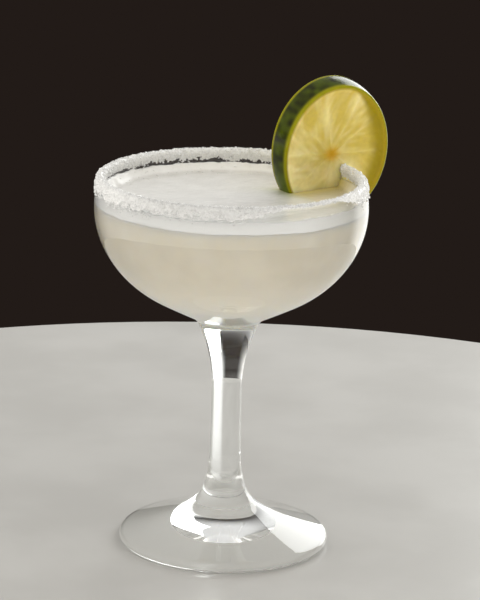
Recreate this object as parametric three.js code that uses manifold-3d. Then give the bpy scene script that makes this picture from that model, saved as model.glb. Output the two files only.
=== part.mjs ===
// A margarita in a stemmed coupe glass, with a salted rim and a lime wheel pushed onto the lip.
// Units are millimetres and +Z is up. The origin is the middle of the foot's flat underside.

import * as THREE from 'three';
import { mergeVertices } from 'three/addons/utils/BufferGeometryUtils.js';
import Module from 'manifold-3d';

// Foot and stem of the glass
const FOOT_RADIUS = 37.9;
const FOOT_EDGE_ROUND = 2.0;
const FOOT_EDGE_TOP_ANGLE = Math.PI * 0.4;
const STEM_RADIUS = 5.35;
const STEM_START = 9;
const STEM_START_FLARE = 16.15;
const STEM_FLARE_DECAY = 5.85;
const STEM_WAIST = 58;
const NECK_HEIGHT = 81.8;
const NECK_FLARE = 0.0098;

// Bowl of the glass: an ellipse above a short cone that meets the stem in a rounded crease
const BOWL_EQUATOR = 124.5;
const BOWL_RADIUS = 48.7;
const BOWL_HALF_HEIGHT = 39.8;
const BOWL_CONE_RADIUS = 26;
const CREASE_CORNER = new THREE.Vector2(11.8, 83.6);
const CREASE_END = new THREE.Vector2(14.5, 84.95);
const WALL = 1.7;
const BOWL_FLOOR = 86.9;
const LIP_CENTRE_HEIGHT = 134.0;

// Drink and its foam, a thin layer with a collar that clings to the wall
const DRINK_LEVEL = 126.3;
const FOAM_LEVEL = 126.9;
const FOAM_COLLAR_TOP = 129.6;
const FOAM_COLLAR_TOP_WIDTH = 0.45;
const FOAM_COLLAR_WIDTH = 3.6;

// Salt crust on the lip
const SALT_THICKNESS = 0.5;
const SALT_EDGE_THICKNESS = 0.15;
const SALT_ROUGHNESS = 0.25;
const SALT_OUTSIDE_GAP = 0.18;
const SALT_OUTSIDE_DEPTH = 3.4;
const SALT_INSIDE_DEPTH = 2.6;
const SALT_EDGE_WANDER = 0.22;
const SALT_LIP_SHARE = 0.4;
const SALT_SEED = 20;

// Lime wheel: size, then its place on the lip
const LIME_RADIUS = 24.5;
const LIME_THICKNESS = 8.2;
const LIME_BACK_GROWTH = 1.022;
const LIME_BACK_RISE = 1.3;
const LIME_OVALITY = 0.05;
const LIME_OVAL_TURN = THREE.MathUtils.degToRad(110.3);
const LIME_EDGE_ROUND = 0.7;
const LIME_BARREL = 0.3;
const LIME_PEEL = 3.0;
const LIME_PITH = 1.0;
const LIME_SEGMENTS = 10;
const LIME_FLESH_DEPTH = 0.25;
const LIME_CORE_RADIUS = 2.2;
const LIME_FLESH_START = 3.7;
const LIME_FLESH_MIDDLE = 13.5;
const LIME_CORE_OFFSET = -2.6;
const LIME_AZIMUTH = THREE.MathUtils.degToRad(36.7);
const LIME_LEAN = THREE.MathUtils.degToRad(6.4);
const LIME_PLACE = new THREE.Vector3(42.76, -1.48, 140.46);

// Clearance between pieces that touch, and the fineness of the round shapes
const GAP = 0.3;
const SAME_POINT = 1e-4;
const TURNS = 48;
const SALT_TURNS = 120;
const LIME_TURNS = 60;

const wasm = await Module();
wasm.setup();

// Solids

function closedGeometry(geometry) {
  geometry.deleteAttribute('normal');
  geometry.deleteAttribute('uv');
  return mergeVertices(geometry, SAME_POINT);
}

function toSolid(geometry) {
  const vertProperties = new Float32Array(geometry.attributes.position.array);
  const triVerts = new Uint32Array(geometry.index.array);
  return new wasm.Manifold(new wasm.Mesh({ numProp: 3, vertProperties, triVerts }));
}

function toGeometry(solid) {
  const mesh = solid.getMesh();
  const geometry = new THREE.BufferGeometry();
  geometry.setAttribute('position', new THREE.BufferAttribute(mesh.vertProperties, mesh.numProp));
  geometry.setIndex(new THREE.BufferAttribute(mesh.triVerts, 1));
  return geometry;
}

function cut(geometry, cutter) {
  return toGeometry(toSolid(geometry).subtract(toSolid(cutter)));
}

// A profile of (radius, height) points turned about the vertical axis
function turned(profile, turns) {
  const geometry = new THREE.LatheGeometry(profile, turns);
  geometry.rotateX(Math.PI / 2);
  return closedGeometry(geometry);
}

function makeMesh(name, geometry, color, roughness, opacity = 1) {
  geometry.computeVertexNormals();
  const transparent = opacity < 1;
  const material = new THREE.MeshStandardMaterial({ color, roughness, metalness: 0, opacity, transparent });
  const mesh = new THREE.Mesh(geometry, material);
  mesh.name = name;
  return mesh;
}

// Glass

function bowlOutside(height) {
  const rise = (height - BOWL_EQUATOR) / BOWL_HALF_HEIGHT;
  return BOWL_RADIUS * Math.sqrt(1 - rise * rise);
}

function bowlInside(height) {
  const rise = (height - BOWL_EQUATOR) / (BOWL_EQUATOR - BOWL_FLOOR);
  return (BOWL_RADIUS - WALL) * Math.sqrt(1 - rise * rise);
}

const LIP_RADIUS = (bowlOutside(LIP_CENTRE_HEIGHT) + bowlInside(LIP_CENTRE_HEIGHT)) / 2;
const LIP_ROUND = (bowlOutside(LIP_CENTRE_HEIGHT) - bowlInside(LIP_CENTRE_HEIGHT)) / 2;

function ellipsePoints(halfWidth, halfHeight, fromAngle, toAngle, steps) {
  const clockwise = toAngle < fromAngle;
  const curve = new THREE.EllipseCurve(0, BOWL_EQUATOR, halfWidth, halfHeight, fromAngle, toAngle, clockwise);
  return curve.getPoints(steps);
}

function arcPoints(radius, height, round, fromAngle, toAngle, steps) {
  return new THREE.EllipseCurve(radius, height, round, round, fromAngle, toAngle).getPoints(steps);
}

function footProfile() {
  const edge = FOOT_RADIUS - FOOT_EDGE_ROUND;
  const edgeSteps = 5;
  return [
    new THREE.Vector2(0, 0),
    ...arcPoints(edge, FOOT_EDGE_ROUND, FOOT_EDGE_ROUND, -Math.PI / 2, FOOT_EDGE_TOP_ANGLE, edgeSteps),
  ];
}

function stemProfile() {
  const lowerSteps = 9;
  const upperSteps = 6;
  const lowerSpacing = 1.7;
  const points = [];
  for (let step = 0; step < lowerSteps; step += 1) {
    const climb = (STEM_WAIST - STEM_START) * (step / lowerSteps) ** lowerSpacing;
    const radius = STEM_RADIUS + STEM_START_FLARE * Math.exp(-climb / STEM_FLARE_DECAY);
    points.push(new THREE.Vector2(radius, STEM_START + climb));
  }
  for (let step = 0; step < upperSteps; step += 1) {
    const climb = (NECK_HEIGHT - STEM_WAIST) * (step / upperSteps);
    points.push(new THREE.Vector2(STEM_RADIUS + NECK_FLARE * climb * climb, STEM_WAIST + climb));
  }
  return points;
}

function creaseProfile() {
  const steps = 3;
  const climb = NECK_HEIGHT - STEM_WAIST;
  const neck = new THREE.Vector2(STEM_RADIUS + NECK_FLARE * climb * climb, NECK_HEIGHT);
  return new THREE.QuadraticBezierCurve(neck, CREASE_CORNER, CREASE_END).getPoints(steps);
}

function bowlProfile() {
  const outsideSteps = 9;
  const lipSteps = 4;
  const insideSteps = 11;
  const insideHalfHeight = BOWL_EQUATOR - BOWL_FLOOR;
  const coneAngle = -Math.acos(BOWL_CONE_RADIUS / BOWL_RADIUS);
  const lipRise = LIP_CENTRE_HEIGHT - BOWL_EQUATOR;
  const outsideTop = Math.asin(lipRise / BOWL_HALF_HEIGHT);
  const insideTop = Math.asin(lipRise / insideHalfHeight);
  const outside = ellipsePoints(BOWL_RADIUS, BOWL_HALF_HEIGHT, coneAngle, outsideTop, outsideSteps);
  const lip = arcPoints(LIP_RADIUS, LIP_CENTRE_HEIGHT, LIP_ROUND, 0, Math.PI, lipSteps);
  const inside = ellipsePoints(BOWL_RADIUS - WALL, insideHalfHeight, insideTop, -Math.PI / 2, insideSteps);
  inside.pop();
  return [...outside, ...lip.slice(1, -1), ...inside, new THREE.Vector2(0, BOWL_FLOOR)];
}

function makeGlass() {
  const profile = [...footProfile(), ...stemProfile(), ...creaseProfile(), ...bowlProfile()];
  return makeMesh('glass', turned(profile, TURNS), 0xdde3e2, 0.05, 0.35);
}

// Lime wheel, with its axis along Y and its shown face towards -Y

// Radius and depth of the wheel's section, from the middle of the front to the middle of the back
function limeProfile(grow) {
  const half = LIME_THICKNESS / 2 + grow;
  const rim = LIME_RADIUS + grow;
  const flat = rim - LIME_EDGE_ROUND;
  const shoulder = half - LIME_EDGE_ROUND;
  const fleshEnd = rim - LIME_PEEL;
  const fleshRadii = [LIME_FLESH_START, LIME_FLESH_MIDDLE, fleshEnd];
  const faceRadii = [0, LIME_CORE_RADIUS, ...fleshRadii, fleshEnd + LIME_PITH, flat];
  const front = faceRadii.map((radius) => new THREE.Vector2(radius, -half));
  const back = faceRadii.map((radius) => new THREE.Vector2(radius, half));
  const side = [
    new THREE.Vector2(rim, -shoulder),
    new THREE.Vector2(rim + LIME_BARREL, 0),
    new THREE.Vector2(rim, shoulder),
  ];
  return [...front, ...side, ...back.reverse()];
}

// The flesh of each segment lies a little below the membranes, the core and the peel
function isFlesh(radius, turn) {
  const insidePeel = radius < LIME_RADIUS - LIME_PEEL;
  const outsideCore = radius > LIME_CORE_RADIUS;
  const onMembrane = turn % (LIME_TURNS / LIME_SEGMENTS) === 0;
  return insidePeel && outsideCore && !onMembrane;
}

function limeGeometry(grow) {
  const profile = limeProfile(grow);
  const geometry = new THREE.LatheGeometry(profile, LIME_TURNS);
  const position = geometry.attributes.position;
  for (let turn = 0; turn <= LIME_TURNS; turn += 1) {
    const angle = Math.PI / 2 - ((turn % LIME_TURNS) / LIME_TURNS) * 2 * Math.PI;
    const oval = 1 + LIME_OVALITY * Math.cos(2 * (angle - LIME_OVAL_TURN));
    profile.forEach((point, index) => {
      const towardsBack = 0.5 + point.y / LIME_THICKNESS;
      const scale = oval * (1 + (LIME_BACK_GROWTH - 1) * towardsBack);
      const core = LIME_CORE_OFFSET * Math.max(0, 1 - point.x / LIME_RADIUS);
      const sink = grow === 0 && isFlesh(point.x, turn) ? LIME_FLESH_DEPTH * Math.sign(point.y) : 0;
      const x = point.x * scale * Math.cos(angle) + core;
      const z = point.x * scale * Math.sin(angle) + LIME_BACK_RISE * towardsBack;
      position.setXYZ(turn * profile.length + index, x, point.y - sink, z);
    });
  }
  return closedGeometry(geometry);
}

// The lip and wall with a clearance all round, which the wheel's slit fits over
function wallClearance() {
  const steps = 8;
  const lipSteps = 6;
  const bottom = LIP_CENTRE_HEIGHT - LIME_RADIUS;
  const outside = [];
  const inside = [];
  for (let step = 0; step <= steps; step += 1) {
    const height = bottom + (LIP_CENTRE_HEIGHT - bottom) * (step / steps);
    outside.push(new THREE.Vector2(bowlOutside(height) + GAP, height));
    inside.push(new THREE.Vector2(bowlInside(height) - GAP, height));
  }
  const lip = arcPoints(LIP_RADIUS, LIP_CENTRE_HEIGHT, LIP_ROUND + GAP, 0, Math.PI, lipSteps);
  const profile = [...outside, ...lip.slice(1, -1), ...inside.reverse()];
  profile.push(profile[0].clone());
  return turned(profile, TURNS);
}

function makeLimePlace() {
  const lean = new THREE.Group();
  lean.position.copy(LIME_PLACE);
  lean.rotation.x = LIME_LEAN;
  const place = new THREE.Group();
  place.rotation.z = LIME_AZIMUTH;
  place.add(lean);
  place.updateMatrixWorld(true);
  return { place, lean };
}

const { place: limePlace, lean: limeLean } = makeLimePlace();

function makeLime() {
  const slit = wallClearance();
  slit.applyMatrix4(limeLean.matrixWorld.clone().invert());
  return makeMesh('lime_wheel', cut(limeGeometry(0), slit), 0x9faa3c, 0.4);
}

// The wheel with a clearance all round, in the frame of the glass
const limeClearance = limeGeometry(GAP);
limeClearance.applyMatrix4(limeLean.matrixWorld);

// Drink and foam

function makeDrink() {
  const sideSteps = 11;
  const level = DRINK_LEVEL - GAP / 2;
  const halfWidth = BOWL_RADIUS - WALL - GAP;
  const halfHeight = BOWL_EQUATOR - BOWL_FLOOR - GAP;
  const top = Math.asin((level - BOWL_EQUATOR) / halfHeight);
  const side = ellipsePoints(halfWidth, halfHeight, -Math.PI / 2, top, sideSteps);
  side[0].x = 0;
  const profile = [...side, new THREE.Vector2(0, level)];
  return makeMesh('drink', cut(turned(profile, TURNS), limeClearance), 0xc4b9a3, 0.15);
}

// The collar is thin at its top and widens down to the layer in a hollow curve
function foamCollar(wall) {
  const steps = 6;
  const hollowness = 2.2;
  const points = [];
  for (let step = 0; step <= steps; step += 1) {
    const share = step / steps;
    const width = THREE.MathUtils.lerp(FOAM_COLLAR_TOP_WIDTH, FOAM_COLLAR_WIDTH, share);
    const rise = (FOAM_COLLAR_TOP - FOAM_LEVEL) * (1 - share) ** hollowness;
    points.push(new THREE.Vector2(wall - width, FOAM_LEVEL + rise));
  }
  return points;
}

function makeFoam() {
  const bottom = DRINK_LEVEL + GAP / 2;
  const wall = bowlInside(FOAM_COLLAR_TOP) - GAP;
  const profile = [
    new THREE.Vector2(0, bottom),
    new THREE.Vector2(bowlInside(bottom) - GAP, bottom),
    new THREE.Vector2(wall, FOAM_COLLAR_TOP),
    ...foamCollar(wall),
    new THREE.Vector2(0, FOAM_LEVEL),
  ];
  return makeMesh('foam', cut(turned(profile, TURNS), limeClearance), 0xd9d6d0, 0.6);
}

// Salt crust, an upturned channel over the lip

// Even draws from 0 to 1, the same each time for one seed
function seededRandom(seed) {
  const multiplier = 1664525;
  const increment = 1013904223;
  const modulus = 2 ** 32;
  let state = seed;
  return () => {
    state = (state * multiplier + increment) % modulus;
    return state / modulus;
  };
}

// A point on the crust: along runs from -1, the outside edge, to 1, the inside edge
function saltPoint(along, depths, thickness) {
  const across = THREE.MathUtils.clamp((along / SALT_LIP_SHARE + 1) / 2, 0, 1);
  const distance = thickness + THREE.MathUtils.lerp(SALT_OUTSIDE_GAP, GAP, across);
  const down = Math.max(0, (Math.abs(along) - SALT_LIP_SHARE) / (1 - SALT_LIP_SHARE));
  if (down === 0) {
    const angle = across * Math.PI;
    const reach = LIP_ROUND + distance;
    const height = LIP_CENTRE_HEIGHT + reach * Math.sin(angle);
    return new THREE.Vector2(LIP_RADIUS + reach * Math.cos(angle), height);
  }
  if (along < 0) {
    const height = LIP_CENTRE_HEIGHT - down * depths.outside;
    return new THREE.Vector2(bowlOutside(height) + distance, height);
  }
  const height = LIP_CENTRE_HEIGHT - down * depths.inside;
  return new THREE.Vector2(bowlInside(height) - distance, height);
}

// Stations along the crust: over the top of the grains, then back along the glass
function saltStations() {
  const coverSteps = 9;
  const crown = SALT_LIP_SHARE / 3;
  const lining = [1, SALT_LIP_SHARE, crown, -crown, -SALT_LIP_SHARE, -1];
  const stations = lining.map((along) => ({ along, cover: false }));
  for (let step = 0; step <= coverSteps; step += 1) {
    stations.push({ along: (2 * step) / coverSteps - 1, cover: true });
  }
  return stations;
}

function makeSalt() {
  const random = seededRandom(SALT_SEED);
  const stations = saltStations();
  const nominal = { outside: SALT_OUTSIDE_DEPTH, inside: SALT_INSIDE_DEPTH };
  const section = stations.map(({ along, cover }) => saltPoint(along, nominal, cover ? SALT_THICKNESS : 0));
  section.push(section[0].clone());
  const geometry = new THREE.LatheGeometry(section, SALT_TURNS);
  const position = geometry.attributes.position;
  const place = (turn, index, point) => {
    const angle = (turn / SALT_TURNS) * 2 * Math.PI;
    const x = point.x * Math.sin(angle);
    const z = point.x * Math.cos(angle);
    position.setXYZ(turn * section.length + index, x, point.y, z);
  };
  for (let turn = 0; turn < SALT_TURNS; turn += 1) {
    const depths = {
      outside: SALT_OUTSIDE_DEPTH * (1 + SALT_EDGE_WANDER * (2 * random() - 1)),
      inside: SALT_INSIDE_DEPTH * (1 + SALT_EDGE_WANDER * (2 * random() - 1)),
    };
    const points = stations.map(({ along, cover }) => {
      const thinning = (SALT_THICKNESS - SALT_EDGE_THICKNESS) * along * along;
      const bump = SALT_ROUGHNESS * random();
      return saltPoint(along, depths, cover ? SALT_THICKNESS - thinning + bump : 0);
    });
    points.push(points[0]);
    points.forEach((point, index) => {
      place(turn, index, point);
      if (turn === 0) {
        place(SALT_TURNS, index, point);
      }
    });
  }
  geometry.rotateX(Math.PI / 2);
  return makeMesh('salt_rim', cut(closedGeometry(geometry), limeClearance), 0xe6e4df, 0.7);
}

limeLean.add(makeLime());

const margarita = new THREE.Group();
margarita.add(makeGlass(), makeDrink(), makeFoam(), makeSalt(), limePlace);

export default margarita;
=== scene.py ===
# Looks, light and camera for a margarita in a stemmed coupe glass, with a salted rim and a lime wheel.
# Sizes and places are in millimetres and become metres where an object is made. Colours are linear.

import math

import bpy
import numpy as np
from mathutils import Matrix, Vector


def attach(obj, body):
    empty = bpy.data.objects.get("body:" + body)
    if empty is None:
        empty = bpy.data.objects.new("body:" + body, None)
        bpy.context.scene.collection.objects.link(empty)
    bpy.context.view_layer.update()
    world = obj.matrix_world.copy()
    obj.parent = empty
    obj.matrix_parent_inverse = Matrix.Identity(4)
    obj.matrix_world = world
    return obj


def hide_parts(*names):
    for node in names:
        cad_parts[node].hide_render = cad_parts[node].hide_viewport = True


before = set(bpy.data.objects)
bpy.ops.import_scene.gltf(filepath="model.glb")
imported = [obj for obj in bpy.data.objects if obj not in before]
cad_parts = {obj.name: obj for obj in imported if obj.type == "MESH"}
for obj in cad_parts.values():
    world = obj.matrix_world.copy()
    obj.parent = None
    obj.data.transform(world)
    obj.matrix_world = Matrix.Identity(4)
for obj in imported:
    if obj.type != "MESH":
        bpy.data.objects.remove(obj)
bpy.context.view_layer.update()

MM = 0.001
BODY = "root"

# Foot and stem of the glass
FOOT_RADIUS = 37.9
FOOT_EDGE_ROUND = 2.0
FOOT_EDGE_TOP_ANGLE = math.radians(72)
FOOT_HOLLOW = 0.9
FOOT_HOLLOW_RADIUS = 20.0
STEM_RADIUS = 5.35
STEM_START = 9.0
STEM_START_FLARE = 16.15
STEM_FLARE_DECAY = 5.85
STEM_WAIST = 58.0
NECK_HEIGHT = 81.8
NECK_FLARE = 0.0098

# Bowl of the glass
BOWL_EQUATOR = 124.5
BOWL_RADIUS = 48.7
BOWL_HALF_HEIGHT = 39.8
BOWL_CONE_RADIUS = 26.0
CREASE_CORNER = (11.8, 83.6)
CREASE_END = (14.5, 84.95)
WALL = 1.7
BOWL_FLOOR = 86.9
BOWL_INSIDE_RADIUS = BOWL_RADIUS - WALL
BOWL_INSIDE_HALF_HEIGHT = BOWL_EQUATOR - BOWL_FLOOR
LIP_HEIGHT = 134.0

# Drink and foam, a thin layer with a collar that clings to the wall
DRINK_LEVEL = 126.3
FOAM_LEVEL = 126.9
FOAM_BOTTOM = DRINK_LEVEL - 0.3
COLLAR_TOP = 130.2
COLLAR_TOP_WIDTH = 0.75
COLLAR_WIDTH = 3.9
COLLAR_HOLLOWNESS = 2.2
INTO_WALL = 0.12
FOAM_DEEPER_INTO_WALL = 0.03
INTO_LIME = 0.06
LEVEL_WOBBLE = 0.25

# Lime wheel
LIME_RADIUS = 24.5
LIME_THICKNESS = 8.2
LIME_BACK_GROWTH = 1.022
LIME_BACK_RISE = 1.3
LIME_OVALITY = 0.05
LIME_OVAL_TURN = math.radians(110.3)
LIME_EDGE_ROUND = 0.7
LIME_BARREL = 0.3
LIME_PEEL = 3.0
LIME_SEGMENTS = 10
LIME_UNEVENNESS = 0.16
LIME_FLESH_DEPTH = 0.25
LIME_CORE_OFFSET = -2.6
LIME_AZIMUTH = math.radians(36.7)
LIME_LEAN = math.radians(6.4)
LIME_PLACE = (42.76, -1.48, 140.46)

# Salt: how far it reaches from the top of the lip, at angles in degrees round the glass
SALT_TURN_MARKS = (0, 30, 60, 90, 115, 150, 180, 205, 235, 265, 282, 293, 322, 336, 360)
SALT_REACH_OUTSIDE = (4.8, 4.2, 3.6, 3.3, 3.4, 3.5, 4.7, 4.8, 4.7, 4.5, 3.2, 0.9, 0.9, 4.2, 4.8)
SALT_REACH_INSIDE = (4.3, 4.6, 4.6, 4.4, 4.1, 4.0, 3.4, 3.2, 3.0, 2.8, 2.2, 0.9, 0.9, 3.4, 4.3)
SALT_THICKNESS = 0.55
SALT_THINNEST = 0.1
SALT_COVERS = 0.05

# Colours of the drink, the foam and the salt
# DRINK_LOW_PAINTED_GLOW is painted light: the drink is paler low in the bowl, as if lit through
DRINK_LOW_PAINTED_GLOW = (0.99, 0.955, 0.88)
DRINK_HIGH = (0.715, 0.67, 0.575)
DRINK_CLOUD = (0.85, 0.81, 0.725)
DRINK_FROTH = (0.96, 0.94, 0.89)
FOAM_PALE = (0.765, 0.757, 0.74)
FOAM_GREY = (0.69, 0.68, 0.66)
FOAM_CELL = (0.86, 0.85, 0.83)
FOAM_COLLAR = (0.96, 0.955, 0.945)
FOAM_AT_WALL = (0.895, 0.895, 0.895)
FOAM_PLAIN_TINT = (1, 1, 1)
# Painted shade for the foam at the wall on the right
FOAM_PAINTED_SHADE_TINT = (0.87, 0.855, 0.8)
# The lime in the foam beside it: seen through the foam, and a painted reflection and shadow of it
FOAM_FLESH_SEEN_AND_REFLECTED = (0.72, 0.59, 0.17)
FOAM_RIND_SEEN_AND_REFLECTED = (0.6, 0.64, 0.35)
SALT_WHITE = (0.89, 0.888, 0.882)
SALT_GREY = (0.82, 0.817, 0.81)

# Colours of the lime
FLESH_DEEP = (0.57, 0.44, 0.085)
FLESH_PALE = (0.86, 0.78, 0.4)
MEMBRANE = (0.88, 0.8, 0.45)
CORE = (0.56, 0.32, 0.0005)
RING = (0.31, 0.232, 0.0005)
EDGE = (0.25, 0.235, 0.001)
RIND_DARK = (0.014, 0.015, 0.0001)
RIND_LIGHT = (0.12, 0.17, 0.0003)

# Colours of the glass and the floor
GLASS_TINT = (0.985, 0.995, 0.99, 1)
FLOOR_PALE = (0.515, 0.505, 0.487)
FLOOR_GREY = (0.467, 0.457, 0.439)
# Painted light: the floor is paler under the foot, making up for light lost through the glass
FLOOR_PAINTED_LIGHT_UNDER_FOOT = (0.76, 0.745, 0.715)

# Light. Its azimuths go from +Y towards +X, in degrees, and the front is the viewer's side.
FRONT_AZIMUTH = 196.0
WINDOW_AZIMUTH = 31
WINDOW_ELEVATION = 19
WINDOW_DISTANCE = 1300
GLOW_AZIMUTH = 34
GLOW_ELEVATION = -8
LIGHT_MIDDLE = (0, 0, 100)

# Camera, as fitted to the photograph
CAMERA_PLACE = (0.0, -1058.5, 380.9)
CAMERA_PITCH = math.radians(15.353)
CAMERA_YAW = math.radians(0.213)
CAMERA_ROLL = math.radians(1.539)
CAMERA_LENS = 184.34
CAMERA_SENSOR = 36.0

# Noise
NOISE_AXES = np.array([73856093, 19349663, 83492791])
NOISE_SEED_STEP = 2654435
NOISE_MIX = 1274126177
RANDOM_SEED = 20

random = np.random.default_rng(RANDOM_SEED)


# Numbers

def smooth_step(low, high, value):
    """0 up to low, 1 from high on, and a smooth rise between them."""
    share = np.clip((np.asarray(value, float) - low) / (high - low), 0, 1)
    return share * share * (3 - 2 * share)


def blend(first, second, share):
    """Colours between first and second, row by row."""
    share = np.asarray(share, float)[:, None]
    return np.asarray(first, float) * (1 - share) + np.asarray(second, float) * share


def noise(points, seed):
    """Smooth noise from -1 to 1 at rows of points, with a lattice one unit wide."""
    points = np.asarray(points, float)
    cell = np.floor(points).astype(np.int64)
    part = points - cell
    part = part * part * (3 - 2 * part)
    total = np.zeros(len(points))
    for corner in np.ndindex(2, 2, 2):
        key = (cell + corner) @ NOISE_AXES + seed * NOISE_SEED_STEP
        key = (key ^ (key >> 13)) * NOISE_MIX
        value = ((key ^ (key >> 16)) & 0xFFFF) / 0x7FFF - 1
        total += value * np.prod(np.where(corner, part, 1 - part), axis=1)
    return total


def angles_round(count):
    return np.arange(count) * 2 * math.pi / count


def arc(centre, radius, start, end, steps):
    angle = np.linspace(start, end, steps)
    return np.stack([centre[0] + radius * np.cos(angle), centre[1] + radius * np.sin(angle)], axis=1)


def across_of(points):
    """Distance of points from the axis of the glass."""
    return np.hypot(points[:, 0], points[:, 1])


def angle_of(points):
    return np.arctan2(points[:, 1], points[:, 0])


# Meshes

def ring_points(profile, turns):
    """A ring of points about the axis for each (radius, height) of a profile."""
    angle = angles_round(turns)
    return np.stack([
        np.outer(profile[:, 0], np.cos(angle)),
        np.outer(profile[:, 0], np.sin(angle)),
        np.outer(profile[:, 1], np.ones(turns)),
    ], axis=-1).reshape(-1, 3)


def ring_faces(rows, turns):
    """Quads between rings of points that follow each other, each ring with so many turns."""
    row, turn = np.meshgrid(np.arange(rows - 1), np.arange(turns), indexing="ij")
    after = (turn + 1) % turns
    corners = [row * turns + turn, row * turns + after, (row + 1) * turns + after, (row + 1) * turns + turn]
    return np.stack(corners, axis=-1).reshape(-1, 4).tolist()


def capped_faces(rows, turns):
    """Quads between rings, and fans to a first and a last point that come after the rings."""
    first = rows * turns
    last = first + 1
    end = (rows - 1) * turns
    faces = ring_faces(rows, turns)
    for turn in range(turns):
        after = (turn + 1) % turns
        faces.append([first, after, turn])
        faces.append([last, end + turn, end + after])
    return faces


def turned(profile, turns):
    """Points and faces of a profile of (radius, height) turned about the axis. Its ends are on the axis."""
    profile = np.asarray(profile, float)
    ring = profile[1:-1]
    poles = [[0, 0, profile[0, 1]], [0, 0, profile[-1, 1]]]
    return np.concatenate([ring_points(ring, turns), poles]), capped_faces(len(ring), turns)


def make_object(name, points, faces, material=None, smooth=True):
    mesh = bpy.data.meshes.new(name)
    mesh.from_pydata((np.asarray(points, float) * MM).tolist(), [], faces)
    mesh.update()
    if smooth:
        mesh.shade_smooth()
    if material:
        mesh.materials.append(material)
    made = bpy.data.objects.new(name, mesh)
    bpy.context.scene.collection.objects.link(made)
    return made


def keep_edges(piece, degrees):
    """Shades a piece smooth, apart from edges that bend by more than an angle."""
    piece.data.shade_smooth()
    piece.data.set_sharp_from_angle(angle=math.radians(degrees))


def cut_away(piece, cutter):
    """Takes the cutter's form out of a piece, and takes the cutter away."""
    modifier = piece.modifiers.new("cut", "BOOLEAN")
    modifier.operation = "DIFFERENCE"
    modifier.solver = "EXACT"
    modifier.object = cutter
    graph = bpy.context.evaluated_depsgraph_get()
    mesh = bpy.data.meshes.new_from_object(piece.evaluated_get(graph))
    piece.modifiers.clear()
    piece.data = mesh
    bpy.data.objects.remove(cutter)


def points_of(piece):
    """Points of a piece in its own frame."""
    flat = np.zeros(len(piece.data.vertices) * 3)
    piece.data.vertices.foreach_get("co", flat)
    return flat.reshape(-1, 3) / MM


def paint(piece, name, colours):
    """Stores a colour for each point of a piece, which its material reads by name."""
    colours = np.asarray(colours, float)
    layer = piece.data.attributes.new(name, "FLOAT_COLOR", "POINT")
    full = np.concatenate([colours, np.ones((len(colours), 1))], axis=1)
    layer.data.foreach_set("color", full.ravel())


def paint_grey(piece, name, shade):
    paint(piece, name, np.repeat(shade[:, None], 3, axis=1))


def finish_piece(piece, node):
    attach(piece, BODY)
    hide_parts(node)


# Nodes of materials

def add_node(tree, kind, inputs, **settings):
    node = tree.nodes.new(kind)
    for key, value in settings.items():
        setattr(node, key, value)
    for socket, value in inputs.items():
        if isinstance(value, bpy.types.NodeSocket):
            tree.links.new(value, node.inputs[socket])
        else:
            node.inputs[socket].default_value = value
    return node


def new_material(name):
    material = bpy.data.materials.new(name)
    material.use_nodes = True
    return material, material.node_tree, material.node_tree.nodes["Principled BSDF"]


def set_inputs(tree, node, **inputs):
    for name, value in inputs.items():
        socket = node.inputs[name.replace("_", " ")]
        if isinstance(value, bpy.types.NodeSocket):
            tree.links.new(value, socket)
        else:
            socket.default_value = value


def place_of(tree):
    return add_node(tree, "ShaderNodeTexCoord", {}).outputs["Object"]


def height_node(tree):
    return add_node(tree, "ShaderNodeSeparateXYZ", {"Vector": place_of(tree)}).outputs["Z"]


def across_node(tree):
    """Distance from the axis of the glass."""
    flat = add_node(tree, "ShaderNodeVectorMath", {0: place_of(tree), 1: (1, 1, 0)}, operation="MULTIPLY")
    inputs = {0: flat.outputs["Vector"]}
    return add_node(tree, "ShaderNodeVectorMath", inputs, operation="LENGTH").outputs["Value"]


def noise_node(tree, size, detail):
    """Noise from 0 to 1 with features of a size."""
    inputs = {"Vector": place_of(tree), "Scale": 1 / (size * MM), "Detail": detail}
    return add_node(tree, "ShaderNodeTexNoise", inputs).outputs["Fac"]


def cells_node(tree, size):
    """Distance from the middles of cells of a size."""
    inputs = {"Vector": place_of(tree), "Scale": 1 / (size * MM)}
    return add_node(tree, "ShaderNodeTexVoronoi", inputs).outputs["Distance"]


def range_node(tree, value, low, high, to_low=0, to_high=1):
    """A smooth change from to_low to to_high as a value goes from low to high."""
    inputs = {"Value": value, "From Min": low, "From Max": high, "To Min": to_low, "To Max": to_high}
    return add_node(tree, "ShaderNodeMapRange", inputs, interpolation_type="SMOOTHSTEP").outputs["Result"]


def mix_node(tree, share, first, second, kind="MIX"):
    """Colours mixed by a share, with the mix node's sockets by number: share, first and second colour."""
    inputs = {0: share}
    for socket, colour in ((6, first), (7, second)):
        inputs[socket] = colour if isinstance(colour, bpy.types.NodeSocket) else (*colour, 1)
    return add_node(tree, "ShaderNodeMix", inputs, data_type="RGBA", blend_type=kind).outputs[2]


def bump_node(tree, height, strength, depth, normal=None):
    inputs = {"Height": height, "Strength": strength, "Distance": depth * MM}
    if normal:
        inputs["Normal"] = normal
    return add_node(tree, "ShaderNodeBump", inputs).outputs["Normal"]


def painted(tree, name, output="Color"):
    return add_node(tree, "ShaderNodeAttribute", {}, attribute_name=name).outputs[output]


# Materials

def glass_material():
    """Clear, with faint smears and waves."""
    material, tree, shader = new_material("clear_glass")
    smears = range_node(tree, noise_node(tree, size=18, detail=3), 0.45, 0.75, to_high=0.02)
    waves = bump_node(tree, noise_node(tree, size=14, detail=1), strength=0.02, depth=1.0)
    set_inputs(tree, shader, Base_Color=GLASS_TINT, Roughness=smears, Normal=waves)
    set_inputs(tree, shader, Transmission_Weight=1.0, IOR=1.5)
    return material


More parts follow.
